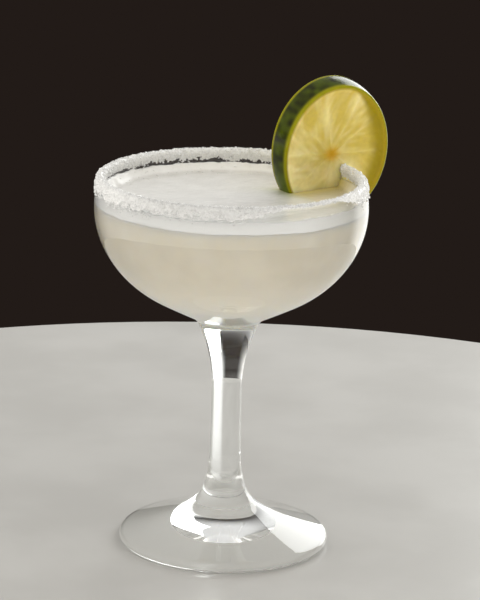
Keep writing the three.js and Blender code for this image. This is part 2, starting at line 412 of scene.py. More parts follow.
def drink_material():
    """Cloudy, with painted light low in the bowl, where it is paler as if lit through, and paler under the
    foam.
    """
    material, tree, shader = new_material("drink")
    pale_end, deep_start = BOWL_FLOOR + 2, BOWL_FLOOR + 24
    froth_start, froth_end = DRINK_LEVEL - 1.6, DRINK_LEVEL + 0.1
    height = height_node(tree)
    # painted light: paler low in the bowl, darker higher up
    rise = range_node(tree, height, pale_end * MM, deep_start * MM)
    colour = mix_node(tree, rise, DRINK_LOW_PAINTED_GLOW, DRINK_HIGH)
    clouds = range_node(tree, noise_node(tree, size=16, detail=3), 0.35, 0.7, to_high=0.4)
    colour = mix_node(tree, clouds, colour, DRINK_CLOUD)
    froth = range_node(tree, height, froth_start * MM, froth_end * MM, to_high=0.5)
    colour = mix_node(tree, froth, colour, DRINK_FROTH)
    set_inputs(tree, shader, Base_Color=colour, Roughness=0.3, Specular_IOR_Level=0.0)
    set_inputs(tree, shader, Subsurface_Weight=1.0, Subsurface_Scale=5 * MM)
    set_inputs(tree, shader, Subsurface_Radius=(1.0, 0.9, 0.7))
    return material


def foam_material():
    """Off-white with fine cells, whiter on the collar and where it meets the glass."""
    material, tree, shader = new_material("foam")
    collar_start, collar_end = FOAM_LEVEL + 0.2, FOAM_LEVEL + 1.4
    wall_start, wall_end = 45.6, 46.3
    clouds = range_node(tree, noise_node(tree, size=9, detail=3), 0.3, 0.7)
    colour = mix_node(tree, clouds, FOAM_PALE, FOAM_GREY)
    fine = range_node(tree, cells_node(tree, size=0.7), 0.0, 0.6, to_high=0.3)
    colour = mix_node(tree, fine, colour, FOAM_CELL)
    collar = range_node(tree, height_node(tree), collar_start * MM, collar_end * MM)
    colour = mix_node(tree, collar, colour, FOAM_COLLAR)
    at_wall = range_node(tree, across_node(tree), wall_start * MM, wall_end * MM)
    colour = mix_node(tree, at_wall, colour, FOAM_AT_WALL)
    colour = mix_node(tree, 1.0, colour, painted(tree, "tint"), "MULTIPLY")
    normal = bump_node(tree, cells_node(tree, size=0.55), strength=0.15, depth=0.1)
    normal = bump_node(tree, cells_node(tree, size=1.4), strength=0.12, depth=0.15, normal=normal)
    set_inputs(tree, shader, Base_Color=colour, Roughness=0.22, Normal=normal, IOR=1.33)
    return material


def salt_material():
    material, tree, shader = new_material("salt")
    speck = range_node(tree, noise_node(tree, size=0.5, detail=2), 0.35, 0.65)
    colour = mix_node(tree, speck, SALT_WHITE, SALT_GREY)
    colour = mix_node(tree, 1.0, colour, painted(tree, "tint"), "MULTIPLY")
    gloss = range_node(tree, noise_node(tree, size=0.8, detail=2), 0.3, 0.7, to_low=0.2, to_high=0.5)
    normal = bump_node(tree, cells_node(tree, size=0.35), strength=0.4, depth=0.12)
    set_inputs(tree, shader, Base_Color=colour, Roughness=gloss, Normal=normal, IOR=1.54)
    return material


def lime_material():
    """Moist flesh that light passes into, and a glossy peel with pores."""
    material, tree, shader = new_material("lime")
    peel = painted(tree, "peel", "Fac")
    speck = range_node(tree, noise_node(tree, size=2.2, detail=3), 0.3, 0.7, to_low=0.96, to_high=1.04)
    grey = add_node(tree, "ShaderNodeCombineXYZ", {"X": speck, "Y": speck, "Z": speck}).outputs["Vector"]
    colour = mix_node(tree, 1.0, painted(tree, "tint"), grey, "MULTIPLY")
    pores = bump_node(tree, cells_node(tree, size=1.1), strength=0.25, depth=0.15)
    flesh = bump_node(tree, noise_node(tree, size=1.6, detail=2), strength=0.05, depth=0.12)
    normal = add_node(tree, "ShaderNodeMix", {0: peel, 4: flesh, 5: pores}, data_type="VECTOR").outputs[1]
    gloss = range_node(tree, peel, 0, 1, to_low=0.3, to_high=0.16)
    set_inputs(tree, shader, Base_Color=colour, Roughness=gloss, Normal=normal, Specular_IOR_Level=0.13)
    set_inputs(tree, shader, Subsurface_Weight=range_node(tree, peel, 0, 1, to_low=1.0, to_high=0.15))
    set_inputs(tree, shader, Subsurface_Scale=5 * MM, Subsurface_Radius=(1.0, 0.8, 0.3))
    return material


def floor_material():
    """Pale, with painted light under the foot: a paler patch that makes up for the light the glass in touch
    with it takes away.
    """
    material, tree, shader = new_material("floor")
    foot_inner, foot_outer = FOOT_RADIUS - 3, FOOT_RADIUS - 1
    clouds = range_node(tree, noise_node(tree, size=60, detail=4), 0.35, 0.65)
    colour = mix_node(tree, clouds, FLOOR_PALE, FLOOR_GREY)
    # painted light: a paler patch under the foot
    painted_light_under_foot = range_node(tree, across_node(tree), foot_inner * MM, foot_outer * MM, to_low=1, to_high=0)
    colour = mix_node(tree, painted_light_under_foot, colour, FLOOR_PAINTED_LIGHT_UNDER_FOOT)
    set_inputs(tree, shader, Base_Color=colour, Roughness=0.32, Specular_IOR_Level=0.2)
    return material


# Glass

def bowl_outside(height):
    return BOWL_RADIUS * np.sqrt(1 - ((np.asarray(height) - BOWL_EQUATOR) / BOWL_HALF_HEIGHT) ** 2)


def bowl_inside(height):
    rise = (np.asarray(height) - BOWL_EQUATOR) / BOWL_INSIDE_HALF_HEIGHT
    return BOWL_INSIDE_RADIUS * np.sqrt(1 - rise ** 2)


LIP_RADIUS = float(bowl_outside(LIP_HEIGHT) + bowl_inside(LIP_HEIGHT)) / 2
LIP_ROUND = float(bowl_outside(LIP_HEIGHT) - bowl_inside(LIP_HEIGHT)) / 2


def ellipse(half_width, half_height, start, end, steps):
    """Part of an ellipse about the middle of the bowl's equator."""
    angle = np.linspace(start, end, steps)
    return np.stack([half_width * np.cos(angle), BOWL_EQUATOR + half_height * np.sin(angle)], axis=1)


def curve_between(start, start_way, end, end_way, steps):
    """A smooth curve from one point to another, leaving and arriving in given directions."""
    start, end = np.asarray(start, float), np.asarray(end, float)
    reach = np.linalg.norm(end - start)
    share = np.linspace(0, 1, steps)[:, None]
    start_way = np.asarray(start_way) / np.linalg.norm(start_way) * reach
    end_way = np.asarray(end_way) / np.linalg.norm(end_way) * reach
    return (
        (2 * share ** 3 - 3 * share ** 2 + 1) * start
        + (share ** 3 - 2 * share ** 2 + share) * start_way
        + (3 * share ** 2 - 2 * share ** 3) * end
        + (share ** 3 - share ** 2) * end_way
    )


def stem_outline():
    """(radius, height) from the foot to the neck, with points closer together near the foot."""
    closer_low = 1.7
    low = STEM_START + (STEM_WAIST - STEM_START) * np.linspace(0, 1, 40) ** closer_low
    high = np.linspace(STEM_WAIST, NECK_HEIGHT, 20)[1:]
    low_radius = STEM_RADIUS + STEM_START_FLARE * np.exp(-(low - STEM_START) / STEM_FLARE_DECAY)
    high_radius = STEM_RADIUS + NECK_FLARE * (high - STEM_WAIST) ** 2
    return np.concatenate([np.stack([low_radius, low], axis=1), np.stack([high_radius, high], axis=1)])


def glass_outline():
    """(radius, height) from the middle of the underside, up the outside, over the lip and down inside."""
    under_radius = np.linspace(0, FOOT_RADIUS - FOOT_EDGE_ROUND, 40)
    hollow = np.cos(np.clip(under_radius / FOOT_HOLLOW_RADIUS, 0, 1) * math.pi / 2) ** 2
    under = np.stack([under_radius, FOOT_HOLLOW * hollow], axis=1)
    foot_centre = (FOOT_RADIUS - FOOT_EDGE_ROUND, FOOT_EDGE_ROUND)
    foot_edge = arc(foot_centre, FOOT_EDGE_ROUND, -math.pi / 2, FOOT_EDGE_TOP_ANGLE, steps=20)
    stem = stem_outline()
    edge_way = (-math.sin(FOOT_EDGE_TOP_ANGLE), math.cos(FOOT_EDGE_TOP_ANGLE))
    foot_top = curve_between(foot_edge[-1], edge_way, stem[0], stem[1] - stem[0], steps=24)
    share = np.linspace(0, 1, 9)[:, None]
    neck, corner, crease_end = stem[-1], np.array(CREASE_CORNER), np.array(CREASE_END)
    crease = neck * (1 - share) ** 2 + corner * 2 * share * (1 - share) + crease_end * share ** 2
    cone_angle = -math.acos(BOWL_CONE_RADIUS / BOWL_RADIUS)
    lip_rise = LIP_HEIGHT - BOWL_EQUATOR
    outside_top = math.asin(lip_rise / BOWL_HALF_HEIGHT)
    inside_top = math.asin(lip_rise / BOWL_INSIDE_HALF_HEIGHT)
    outside = ellipse(BOWL_RADIUS, BOWL_HALF_HEIGHT, cone_angle, outside_top, steps=50)
    cone_way = outside[1] - outside[0]
    cone = curve_between(crease_end, crease_end - corner, outside[0], cone_way, steps=14)
    lip = arc((LIP_RADIUS, LIP_HEIGHT), LIP_ROUND, 0, math.pi, steps=14)
    inside = ellipse(BOWL_INSIDE_RADIUS, BOWL_INSIDE_HALF_HEIGHT, inside_top, -math.pi / 2, steps=60)
    inside[-1, 0] = 0
    foot_and_stem = [under, foot_edge[1:], foot_top[1:-1], stem]
    bowl = [crease[1:-1], cone[:-1], outside, lip[1:-1], inside]
    return np.concatenate(foot_and_stem + bowl)


def make_glass():
    points, faces = turned(glass_outline(), turns=200)
    glass = make_object("glass_body", points, faces, glass_material())
    finish_piece(glass, "glass")


# Lime wheel. In its own frame X points away from the glass, Z up and the shown face towards -Y.

LIME_MATRIX = (
    Matrix.Rotation(LIME_AZIMUTH, 4, "Z")
    @ Matrix.Translation(Vector(LIME_PLACE) * MM)
    @ Matrix.Rotation(LIME_LEAN, 4, "X")
)
SEGMENT_SHIFTS = random.uniform(-LIME_UNEVENNESS, LIME_UNEVENNESS, LIME_SEGMENTS)
SEGMENT_EDGES = (np.arange(LIME_SEGMENTS) + SEGMENT_SHIFTS) * 2 * math.pi / LIME_SEGMENTS


def lime_frame(points):
    """Points of the glass's frame, in the wheel's own frame."""
    inverse = np.array(LIME_MATRIX.inverted())
    return np.asarray(points) @ inverse[:3, :3].T + inverse[:3, 3] / MM


def towards_back(depth):
    """0 at the front face of the wheel and 1 at the back."""
    return 0.5 + depth / LIME_THICKNESS


def core_shift(radius):
    """How far the middle of the wheel is moved sideways, fading out towards its rim."""
    return LIME_CORE_OFFSET * np.clip(1 - radius / LIME_RADIUS, 0, 1)


def lime_scale(angle, depth):
    oval = 1 + LIME_OVALITY * np.cos(2 * (angle - LIME_OVAL_TURN))
    return oval * (1 + (LIME_BACK_GROWTH - 1) * towards_back(depth))


def lime_polar(points):
    """Radius and angle of points of the wheel before its oval form, growth and moved core."""
    depth = points[:, 1]
    rise = points[:, 2] - LIME_BACK_RISE * towards_back(depth)
    radius = np.hypot(points[:, 0], rise)
    for _ in range(8):
        across = points[:, 0] - core_shift(radius)
        angle = np.arctan2(rise, across)
        radius = np.hypot(across, rise) / lime_scale(angle, depth)
    return radius, angle


def outside_lime(points):
    """How far points of the glass's frame are outside the wheel, negative within it."""
    local = lime_frame(points)
    radius, _ = lime_polar(local)
    return np.maximum(np.abs(local[:, 1]) - LIME_THICKNESS / 2, radius - LIME_RADIUS)


def membrane_distance(radius, angle):
    """Distance to the nearest membrane between two segments."""
    turn = angle[:, None] - SEGMENT_EDGES[None, :]
    turn = np.abs((turn + math.pi) % (2 * math.pi) - math.pi)
    return radius * turn.min(axis=1)


def cell_places(radius, angle, length, width):
    """Places in a pattern of long cells that point to the core, apart in each segment."""
    segment_step = 7.3
    edges = np.sort(SEGMENT_EDGES % (2 * math.pi))
    segment = np.searchsorted(edges, angle % (2 * math.pi)) - 1
    turn = (angle - edges[segment]) % (2 * math.pi)
    return np.stack([radius / length, turn * radius / width, segment * segment_step], axis=1)


def flesh_share(radius):
    """1 on the flesh, 0 on the core and the peel."""
    core_end, flesh_start = 1.8, 4.2
    flesh_end = LIME_RADIUS - LIME_PEEL
    peel_start = flesh_end + 1.2
    return smooth_step(core_end, flesh_start, radius) * (1 - smooth_step(flesh_end, peel_start, radius))


def lime_section(grow, face_rows):
    """Radius and depth from the middle of the front to the middle of the back."""
    first_ring = 0.5
    half = LIME_THICKNESS / 2 + grow
    rim = LIME_RADIUS + grow
    face = np.linspace(first_ring, rim - LIME_EDGE_ROUND, face_rows)
    bend_centre = (rim - LIME_EDGE_ROUND, -half + LIME_EDGE_ROUND)
    bend = arc(bend_centre, LIME_EDGE_ROUND, -math.pi / 2, 0, steps=7)
    side_depth = np.linspace(-half + LIME_EDGE_ROUND, half - LIME_EDGE_ROUND, 14)
    barrel = LIME_BARREL * (1 - (side_depth / side_depth[0]) ** 2)
    front = np.stack([face, np.full(face_rows, -half)], axis=1)
    side = np.stack([rim + barrel, side_depth], axis=1)
    back_bend = bend[::-1] * [1, -1]
    back = front[::-1] * [1, -1]
    return np.concatenate([front, bend[1:-1], side, back_bend[1:-1], back])


def lime_relief(radius, angle):
    """How far the face stands out: sunk segments, raised membranes and long juice cells."""
    membrane_share, membrane_width = 0.6, 0.7
    cell_rise, ripple_rise = 0.13, 0.03
    core_dip, core_width = 0.3, 1.6
    membrane = membrane_share * np.exp(-(membrane_distance(radius, angle) / membrane_width) ** 2)
    cells = noise(cell_places(radius, angle, length=4.0, width=1.1), 3)
    ripple = noise(cell_places(radius, angle, length=1.3, width=1.3), 4)
    flesh = -LIME_FLESH_DEPTH * (1 - membrane) + cell_rise * cells + ripple_rise * ripple
    return flesh_share(radius) * flesh - core_dip * np.exp(-(radius / core_width) ** 2)


def lime_points(grow, face_rows, turns, relief):
    """Points and faces of the wheel in its own frame, grown by a distance, with or without relief."""
    section = lime_section(grow, face_rows)
    rows = len(section)
    middles = [0, 0]
    angle = np.concatenate([np.tile(angles_round(turns), rows), middles])
    radius = np.concatenate([np.repeat(section[:, 0], turns), middles])
    depth = np.concatenate([np.repeat(section[:, 1], turns), section[[0, -1], 1]])
    scale = lime_scale(angle, depth)
    lift = lime_relief(radius, angle) * np.sign(depth) if relief else 0
    x = radius * scale * np.cos(angle) + core_shift(radius)
    z = radius * scale * np.sin(angle) + LIME_BACK_RISE * towards_back(depth)
    return np.stack([x, depth + lift, z], axis=1), [face[::-1] for face in capped_faces(rows, turns)]


def lime_cutter():
    """The wheel, a little smaller than it is, so that drink and foam reach just into it."""
    points, faces = lime_points(-INTO_LIME, face_rows=6, turns=96, relief=False)
    cutter = make_object("lime_cutter", points, faces)
    cutter.matrix_world = LIME_MATRIX
    return cutter


def wall_cutter():
    """The wall of the bowl, a little thinner than it is, so that the lime reaches just into the glass."""
    thinner = 0.1
    bottom = LIP_HEIGHT - 24
    turns = 160
    height = np.linspace(bottom, LIP_HEIGHT, 16)
    outside = np.stack([bowl_outside(height) - thinner, height], axis=1)
    inside = np.stack([bowl_inside(height) + thinner, height], axis=1)
    lip = arc((LIP_RADIUS, LIP_HEIGHT), LIP_ROUND - thinner, 0, math.pi, steps=9)
    profile = np.concatenate([outside, lip[1:-1], inside[::-1]])
    faces = ring_faces(len(profile), turns)
    last = (len(profile) - 1) * turns
    for turn in range(turns):
        after = (turn + 1) % turns
        faces.append([last + turn, last + after, after, turn])
    return make_object("wall_cutter", ring_points(profile, turns), faces)


def flesh_colours(points, radius, angle, lower):
    """Flesh that is paler low and to the left, with pale membranes and an orange core."""
    cells = noise(cell_places(radius, angle, length=4.5, width=1.5), 5)
    tone = noise(np.stack([points[:, 0] / 7, points[:, 2] / 7, np.zeros(len(points))], axis=1), 6)
    lower_left = smooth_step(-10, 18, -points[:, 0] * 0.7 - points[:, 2] * 0.7)
    pale = 0.1 + 0.6 * lower_left + 0.35 * lower + 0.25 * cells + 0.35 * tone
    colour = blend(FLESH_DEEP, FLESH_PALE, np.clip(pale, 0, 1))
    from_membrane = membrane_distance(radius, angle)
    membrane = np.exp(-(from_membrane / 1.1) ** 2) * smooth_step(2, 8, radius)
    colour = blend(colour, MEMBRANE, (0.18 + 0.14 * tone) * membrane)
    core_reach = 4.3 + 1.0 * np.exp(-(from_membrane / 0.9) ** 2) + 0.8 * np.cos(2 * angle)
    return blend(colour, CORE, 1 - smooth_step(0.3, core_reach, radius))


def rind_colours(points, lower):
    """Spotted green, lighter low on the wheel and paler at both edges of the rim."""
    depth = points[:, 1]
    spots = noise(points / 2.2, 7)
    rind = blend(RIND_DARK, RIND_LIGHT, np.clip(0.2 + 0.25 * spots + 0.6 * lower, 0, 1))
    at_edge = np.maximum(smooth_step(2.3, 3.3, depth), smooth_step(2.6, 3.9, -depth))
    return blend(rind, EDGE, at_edge)


def lime_colours(points):
    """Colour of each point of the wheel, and how far it is peel."""
    radius, angle = lime_polar(points)
    lower = smooth_step(-2, 22, -points[:, 2])
    colour = flesh_colours(points, radius, angle, lower)
    outwards = smooth_step(-0.1, 0.8, np.cos(angle + 0.25))
    ring_start = 22.8 - 8.0 * outwards
    ring_width = 0.9 + 4.8 * outwards
    colour = blend(colour, RING, smooth_step(ring_start, ring_start + ring_width, radius))
    colour = blend(colour, EDGE, smooth_step(23.3, 24.1, radius))
    colour = blend(colour, rind_colours(points, lower), smooth_step(24.05, 24.4, radius))
    return colour, smooth_step(22.6, 23.8, radius)


def make_lime():
    points, faces = lime_points(0, face_rows=52, turns=300, relief=True)
    lime = make_object("lime", points, faces, lime_material())
    lime.matrix_world = LIME_MATRIX
    cut_away(lime, wall_cutter())
    keep_edges(lime, degrees=50)
    colour, peel = lime_colours(points_of(lime))
    paint(lime, "tint", colour)
    paint_grey(lime, "peel", peel)
    lime.data.transform(LIME_MATRIX)
    lime.matrix_world = Matrix.Identity(4)
    finish_piece(lime, "lime_wheel")


# Drink and foam

def level_wobble(points):
    """How far the line between drink and foam rises or falls round the glass, fading out to the middle."""
    waves_round = 3.5
    angle = angle_of(points)
    around = np.stack([np.cos(angle), np.sin(angle), np.zeros_like(angle)], axis=1) * waves_round
    fine = 0.4 * noise(around * 4, 9) + 0.45 * noise(around * 9, 22)
    return LEVEL_WOBBLE * (noise(around, 8) + fine) * smooth_step(10, 40, across_of(points))


def into_wall(height):
    return bowl_inside(height) + INTO_WALL


def make_drink():
    surface_rings = 23
    wobble_depth = 4
    half_width = BOWL_INSIDE_RADIUS + INTO_WALL
    half_height = BOWL_INSIDE_HALF_HEIGHT + INTO_WALL
    top = math.asin((DRINK_LEVEL - BOWL_EQUATOR) / half_height)
    side = ellipse(half_width, half_height, -math.pi / 2, top, steps=70)
    side[0, 0] = 0
    reach = np.linspace(half_width * math.cos(top), 0, surface_rings + 1)[1:]
    surface = np.stack([reach, np.full(surface_rings, DRINK_LEVEL)], axis=1)
    points, faces = turned(np.concatenate([side, surface]), turns=160)
    near_top = smooth_step(DRINK_LEVEL - wobble_depth, DRINK_LEVEL, points[:, 2])
    points[:, 2] += near_top * level_wobble(points)
    drink = make_object("drink_body", points, faces, drink_material())
    cut_away(drink, lime_cutter())
    keep_edges(drink, degrees=50)
    finish_piece(drink, "drink")


def foam_height(points):
    """Height of the foam's surface: a ragged collar on the wall, a rise at the lime, swirls and bumps."""
    flat = np.stack([points[:, 0], points[:, 1], np.zeros(len(points))], axis=1)
    to_wall = np.clip(bowl_inside(COLLAR_TOP) - across_of(points), 0, None)
    width = to_wall * (1 + 0.3 * noise(flat / 3.5, 10))
    share = np.clip((width - COLLAR_TOP_WIDTH) / (COLLAR_WIDTH - COLLAR_TOP_WIDTH), 0, 1)
    ragged = 1 + 0.12 * noise(flat / 4.0, 11) + 0.07 * noise(flat / 1.3, 12)
    from_lime = np.clip(outside_lime(flat + [0, 0, FOAM_LEVEL]), 0, None)
    hollowness = COLLAR_HOLLOWNESS + 3 * np.exp(-from_lime / 4)
    collar = (COLLAR_TOP - FOAM_LEVEL) * ragged * (1 - share) ** hollowness
    at_lime = 0.5 * np.exp(-from_lime / 0.6)
    swirl = 0.1 * noise(flat / 9, 13) + 0.05 * noise(flat / 2.8, 14) + 0.035 * noise(flat / 1.0, 15)
    return FOAM_LEVEL + np.maximum(collar, at_lime) + swirl


def make_foam():
    """A disc whose rings run from the middle below, up the wall and over the surface to the middle."""
    turns, under_rings, side_rows, near_rings, far_rings = 360, 9, 14, 23, 55
    near_width = 5
    wall = float(into_wall(COLLAR_TOP))
    under_reach = np.linspace(0, float(into_wall(FOAM_BOTTOM)), under_rings + 1)[:-1]
    near = np.linspace(wall, wall - near_width, near_rings + 1)[1:]
    far = np.linspace(wall - near_width, 0, far_rings + 1)[1:]
    reach = np.concatenate([under_reach, np.full(side_rows, wall), near, far])
    points, faces = turned(np.stack([reach, np.full(len(reach), FOAM_BOTTOM)], axis=1), turns)
    first_side = (under_rings - 1) * turns
    first_surface = first_side + side_rows * turns
    on_side = slice(first_side, first_surface)
    angle = angle_of(points)
    bottom = FOAM_BOTTOM + level_wobble(points)
    top = foam_height(points)
    share = np.repeat(np.linspace(0, 1, side_rows), turns)
    points[:first_side, 2] = bottom[:first_side]
    points[on_side, 2] = bottom[on_side] * (1 - share) + top[on_side] * share
    points[first_surface:-2, 2] = top[first_surface:-2]
    points[-1, 2] = top[-1]
    radius = into_wall(points[on_side, 2]) + FOAM_DEEPER_INTO_WALL
    points[on_side, 0] = radius * np.cos(angle[on_side])
    points[on_side, 1] = radius * np.sin(angle[on_side])
    foam = make_object("foam_top", points, faces, foam_material())
    cut_away(foam, lime_cutter())
    keep_edges(foam, degrees=60)
    paint(foam, "tint", foam_tint_with_painted_light(points_of(foam)))
    finish_piece(foam, "foam")
    return foam.data.materials[0]


def foam_tint_with_painted_light(points):
    """Colour of the lime in the foam beside it, partly the lime showing through and partly its painted
    reflection and shadow, which reach further in front of the wheel; and painted shade on the foam at the
    wall on the right.
    """
    shade_angle, shade_spread = -15, 28
    local = lime_frame(points)
    radius, _ = lime_polar(local)
    beyond_end = smooth_step(LIME_RADIUS - 5, LIME_RADIUS + 3, radius)
    before = smooth_step(-1, 5, -local[:, 1])
    # painted reflection and shadow of the lime, with the lime itself showing through
    glow = blend(FOAM_FLESH_SEEN_AND_REFLECTED, FOAM_RIND_SEEN_AND_REFLECTED, beyond_end)
    fading = 3.0 + 8.0 * before * (1 - beyond_end)
    share = 0.95 * np.exp(-np.clip(outside_lime(points), 0, None) / fading)
    # painted shade on the foam at the wall on the right
    from_shade = (np.degrees(angle_of(points)) - shade_angle) / shade_spread
    painted_shade_right = np.exp(-from_shade ** 2) * smooth_step(44.5, 46.0, across_of(points))
    return blend(blend(FOAM_PLAIN_TINT, FOAM_PAINTED_SHADE_TINT, painted_shade_right), glow, share)


def make_bubbles(material):
    """Small domes of froth, most of them along the wall."""
    count, rows, turns = 420, 5, 12
    usual_gap, least_gap = 1.6, 0.5
    usual_size, size_spread, smallest, largest = 0.32, 0.4, 0.16, 0.85
    lowest_lift, highest_lift = 0.2, 1.35
    sunk, flatness = 0.42, 0.75
    angle = random.uniform(0, 2 * math.pi, count)
    to_wall = random.exponential(usual_gap, count) + least_gap
    size = np.clip(random.lognormal(math.log(usual_size), size_spread, count), smallest, largest)
    across = np.clip(float(bowl_inside(COLLAR_TOP)) - to_wall - size * 0.4, 3, None)
    middle = np.stack([across * np.cos(angle), across * np.sin(angle), np.zeros(count)], axis=1)
    middle[:, 2] = foam_height(middle)
    kept = outside_lime(middle) > size
    middle, size = middle[kept], size[kept]
    lift = np.linspace(lowest_lift, highest_lift, rows)
    dome = ring_points(np.stack([np.cos(lift), np.sin(lift)], axis=1), turns)
    dome = np.concatenate([dome, [[0, 0, 0], [0, 0, 1]]]) - [0, 0, sunk]
    domes = dome[None, :, :] * size[:, None, None] * [1, 1, flatness]
    points = (middle[:, None, :] + domes).reshape(-1, 3)
    shape = capped_faces(rows, turns)
    starts = np.arange(len(middle)) * len(dome)
    faces = [[corner + int(start) for corner in face] for start in starts for face in shape]
    bubbles = make_object("foam_bubbles", points, faces, material)
    paint(bubbles, "tint", foam_tint_with_painted_light(points))
    finish_piece(bubbles, "foam")


# Salt. Along the lip's section, 0 is the top of the lip, less than 0 outside and more than 0 inside.

QUARTER = math.pi / 2 * LIP_ROUND


def lip_point(angle, along, distance):
    """Points at a distance off the glass, along the section of the lip."""
    bend = math.pi / 2 + np.clip(along, -QUARTER, QUARTER) / LIP_ROUND
    down = np.clip(np.abs(along) - QUARTER, 0, None)
    height = LIP_HEIGHT - down
    wall = np.where(along < 0, bowl_outside(height) + distance, bowl_inside(height) - distance)
    on_lip = down == 0
    across = np.where(on_lip, LIP_RADIUS + (LIP_ROUND + distance) * np.cos(bend), wall)
    height = np.where(on_lip, LIP_HEIGHT + (LIP_ROUND + distance) * np.sin(bend), height)
    return np.stack([across * np.cos(angle), across * np.sin(angle), height], axis=1)


def salt_cover(angle, along):
    """How thickly the salt lies, above 0 where it covers the glass."""
    degrees = np.degrees(angle) % 360
    outside = np.interp(degrees, SALT_TURN_MARKS, SALT_REACH_OUTSIDE)
    inside = np.interp(degrees, SALT_TURN_MARKS, SALT_REACH_INSIDE)
    reach = np.where(along < 0, outside, inside)
    place = lip_point(angle, along, 0.0)
    reach = reach * (1 + 0.2 * noise(place / 3.0, 14) + 0.14 * noise(place / 1.0, 15))
    edge = 1 - np.abs(along) / reach
    gaps = noise(place / 0.9, 16) + 0.5 * noise(place / 2.4, 17)
    gap_zone = smooth_step(1.2, 2.2, np.abs(along)) * np.where(along < 0, 1, 0.8)
    return edge * 2 - 0.75 * gap_zone * smooth_step(0.1, 0.7, gaps)


def front_outside(angle, along):
    """1 outside at the front, where the salt is thin and fine, and 0 inside, behind and at the sides."""
    return smooth_step(0.15, 0.6, -np.sin(angle)) * smooth_step(0.2, 1.2, -along)


def salt_depth(angle, along):
    """How far the top of the crust is off the glass."""
    least, most = 0.06, 1.0
    front_thinning = 0.5
    place = lip_point(angle, along, 0.0)
    cover = np.clip(salt_cover(angle, along), 0, 1)
    grain = 0.22 * noise(place / 0.45, 18) + 0.12 * noise(place / 0.9, 19)
    depth = SALT_THINNEST + (SALT_THICKNESS - SALT_THINNEST) * cover ** 0.6 + grain * (0.4 + 0.6 * cover)
    return np.clip(depth * (1 - front_thinning * front_outside(angle, along)), least, most)


def salt_tone_and_painted_shade(points):
    """Salt is greyer outside at the front: painted shade that tones down the strong light from the front,
    and thinner salt there with gaps.
    """
    front_painted_shade = 0.25
    across = across_of(points)
    front = smooth_step(0.4, 0.95, -points[:, 1] / across)
    outside = smooth_step(-0.5, 0.5, across - LIP_RADIUS)
    return 1 - front_painted_shade * front * outside


def crust_faces(covered):
    """Faces of a slab over the covered cells of a grid: tops, then undersides, then the walls round them."""
    turns, steps = covered.shape
    above = turns * steps
    cells = []
    edges = {}
    for turn in range(turns):
        after = (turn + 1) % turns
        for step in range(steps - 1):
            corners = [(turn, step), (turn, step + 1), (after, step + 1), (after, step)]
            if sum(covered[corner] for corner in corners) < 3:
                continue
            cell = [around * steps + along for around, along in corners]
            cells.append(cell)
            for first, second in zip(cell, cell[1:] + cell[:1]):
                if (second, first) in edges:
                    del edges[(second, first)]
                else:
                    edges[(first, second)] = True
    tops = [[corner + above for corner in cell[::-1]] for cell in cells]
    walls = [[second, first, first + above, second + above] for first, second in edges]
    return tops + cells + walls


def make_salt_crust(material):
    """A crust with a rough top that ends where the salt does, with bare glass in its gaps."""
    turns, steps = 880, 30
    longest = 5.0
    off_glass, off_lime = 0.02, 0.15
    angle = np.repeat(angles_round(turns), steps)
    along = np.tile(np.linspace(-longest, longest, steps), turns)
    low = lip_point(angle, along, np.full(turns * steps, off_glass))
    high = lip_point(angle, along, salt_depth(angle, along))
    covered = (salt_cover(angle, along) > SALT_COVERS) & (outside_lime(low) > off_lime)
    faces = crust_faces(covered.reshape(turns, steps).astype(int))
    points = np.concatenate([low, high])
    used = np.unique(np.concatenate([np.array(face) for face in faces]))
    order = np.zeros(len(points), int)
    order[used] = np.arange(len(used))
    faces = [[int(order[corner]) for corner in face] for face in faces]
    points = points[used]
    crust = make_object("salt_crust", points, faces, material)
    paint_grey(crust, "tint", (0.97 + 0.03 * noise(points / 0.6, 21)) * salt_tone_and_painted_shade(points))
    finish_piece(crust, "salt_rim")


def random_turns(count):
    """Rotation matrices spread evenly over all directions."""
    quaternion = random.normal(size=(count, 4))
    quaternion /= np.linalg.norm(quaternion, axis=1)[:, None]
    w, x, y, z = quaternion.T
    return np.stack([
        np.stack([1 - 2 * (y * y + z * z), 2 * (x * y - z * w), 2 * (x * z + y * w)], axis=1),
        np.stack([2 * (x * y + z * w), 1 - 2 * (x * x + z * z), 2 * (y * z - x * w)], axis=1),
        np.stack([2 * (x * z - y * w), 2 * (y * z + x * w), 1 - 2 * (x * x + y * y)], axis=1),
    ], axis=1)


def grain_chance(angle, along, cover):
    """How likely a grain is kept: on the crust, loose below it, and sprinkled wider at the front left."""
    on_crust = 0.75
    sprinkled_angle, sprinkled_spread = 218, 16
    loose = np.where(along < 0, 0.3, 0.12) * np.exp(cover * 3.0)
    from_sprinkled = (np.degrees(angle) - sprinkled_angle) / sprinkled_spread
    sprinkled = 0.55 * np.exp(-from_sprinkled ** 2) * np.exp(cover * 1.2)
    return np.where(cover > 0, on_crust, np.maximum(loose, np.where(along < 0, sprinkled, 0)))


